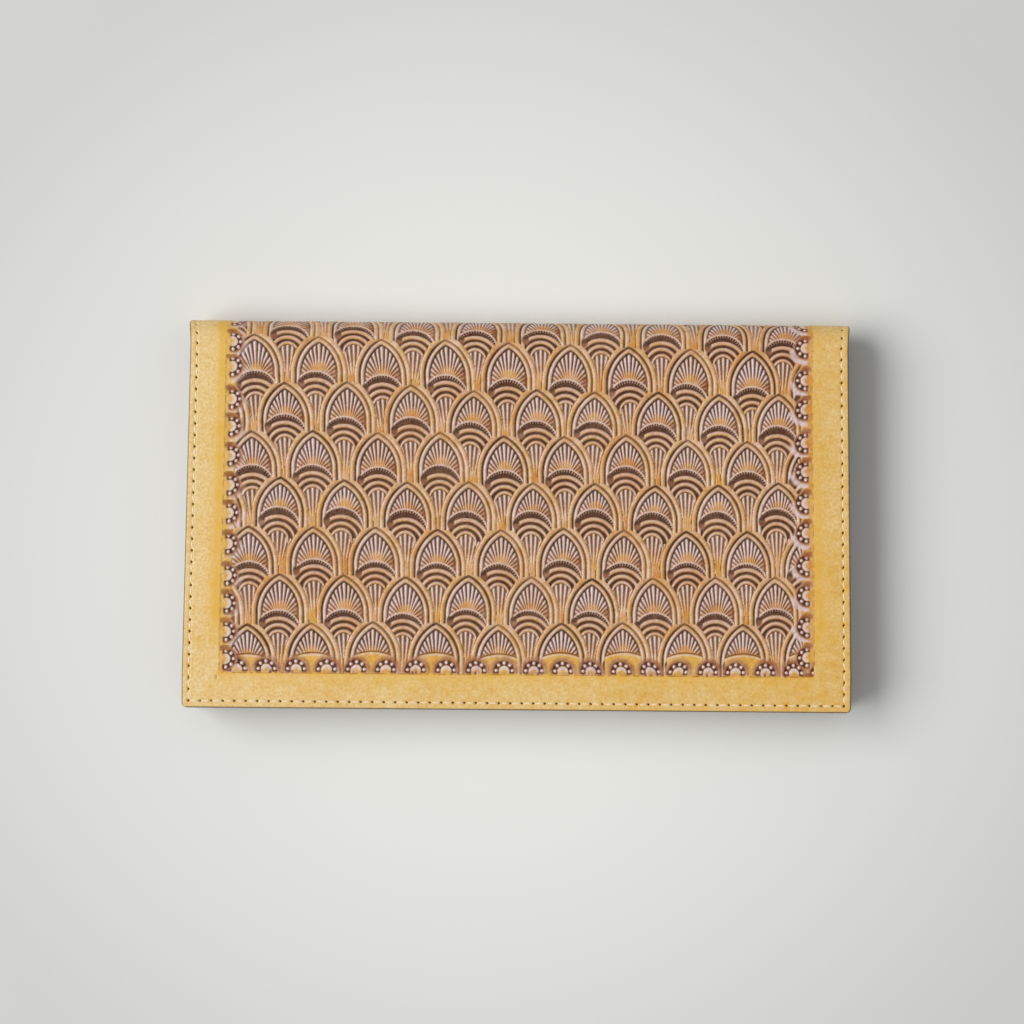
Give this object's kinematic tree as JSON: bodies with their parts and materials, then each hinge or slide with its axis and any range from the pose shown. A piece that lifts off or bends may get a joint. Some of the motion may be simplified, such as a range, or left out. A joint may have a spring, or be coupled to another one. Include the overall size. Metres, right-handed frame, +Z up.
{
  "type": "tooled leather wallet",
  "caption": "Long bifold wallet of stamped leather with a sewn edge, a note pocket, a slip pocket and stepped rows of card pockets; it opens flat along its fold.",
  "frame": {"origin": "on the table under the middle of the closed wallet, which lies on its back cover", "axes": "+X along the fold, +Y towards the fold, +Z up from the back cover to the front cover"},
  "size_m": [0.19, 0.11, 0.0156],
  "materials": {
    "cover_leather": "stamped, antiqued and lacquered tan",
    "lining_leather": "matt, fine nap",
    "pocket_leather": "smooth satin",
    "hem_leather": "skived edge, burnished dark",
    "thread": "waxed"
  },
  "bodies": {
    "back_half": {"cover_back": "cover_leather", "lining_back": "lining_leather", "seam_thread_back": "thread", "bill_pocket_hem": "hem_leather", "bill_pocket_wall": "pocket_leather", "card_pocket_1_hem": "hem_leather", "card_pocket_1_wall": "pocket_leather", "card_pocket_2_hem": "hem_leather", "card_pocket_2_wall": "pocket_leather", "card_pocket_3_hem": "hem_leather", "card_pocket_3_wall": "pocket_leather"},
    "fold_lower": {"fold_cover_1": "cover_leather", "fold_lining_1": "lining_leather"},
    "fold_middle": {"fold_cover_2": "cover_leather", "fold_lining_2": "lining_leather"},
    "fold_upper": {"fold_cover_3": "cover_leather", "fold_lining_3": "lining_leather"},
    "front_half": {"cover_front": "cover_leather", "lining_front": "lining_leather", "seam_thread_front": "thread", "slip_pocket_hem": "hem_leather", "slip_pocket_wall": "pocket_leather"}
  },
  "joints": [
    {"name": "fold_bend_1", "type": "hinge", "parent": "back_half", "child": "fold_lower", "pos_m": [0, 0.05018, 0.00059], "axis": [-1, 0, 0], "range_deg": [0, 45]},
    {"name": "fold_bend_2", "type": "hinge", "parent": "fold_lower", "child": "fold_middle", "pos_m": [0, 0.05441, 0.00482], "axis": [-1, 0, 0], "range_deg": [0, 45]},
    {"name": "fold_bend_3", "type": "hinge", "parent": "fold_middle", "child": "fold_upper", "pos_m": [0, 0.05441, 0.01078], "axis": [-1, 0, 0], "range_deg": [0, 45]},
    {"name": "fold_bend_4", "type": "hinge", "parent": "fold_upper", "child": "front_half", "pos_m": [0, 0.05018, 0.01501], "axis": [-1, 0, 0], "range_deg": [0, 45]}
  ],
  "couplings": [
    {"joint": "fold_bend_2", "follows": "fold_bend_1", "ratio": 1},
    {"joint": "fold_bend_3", "follows": "fold_bend_1", "ratio": 1},
    {"joint": "fold_bend_4", "follows": "fold_bend_1", "ratio": 1}
  ]
}
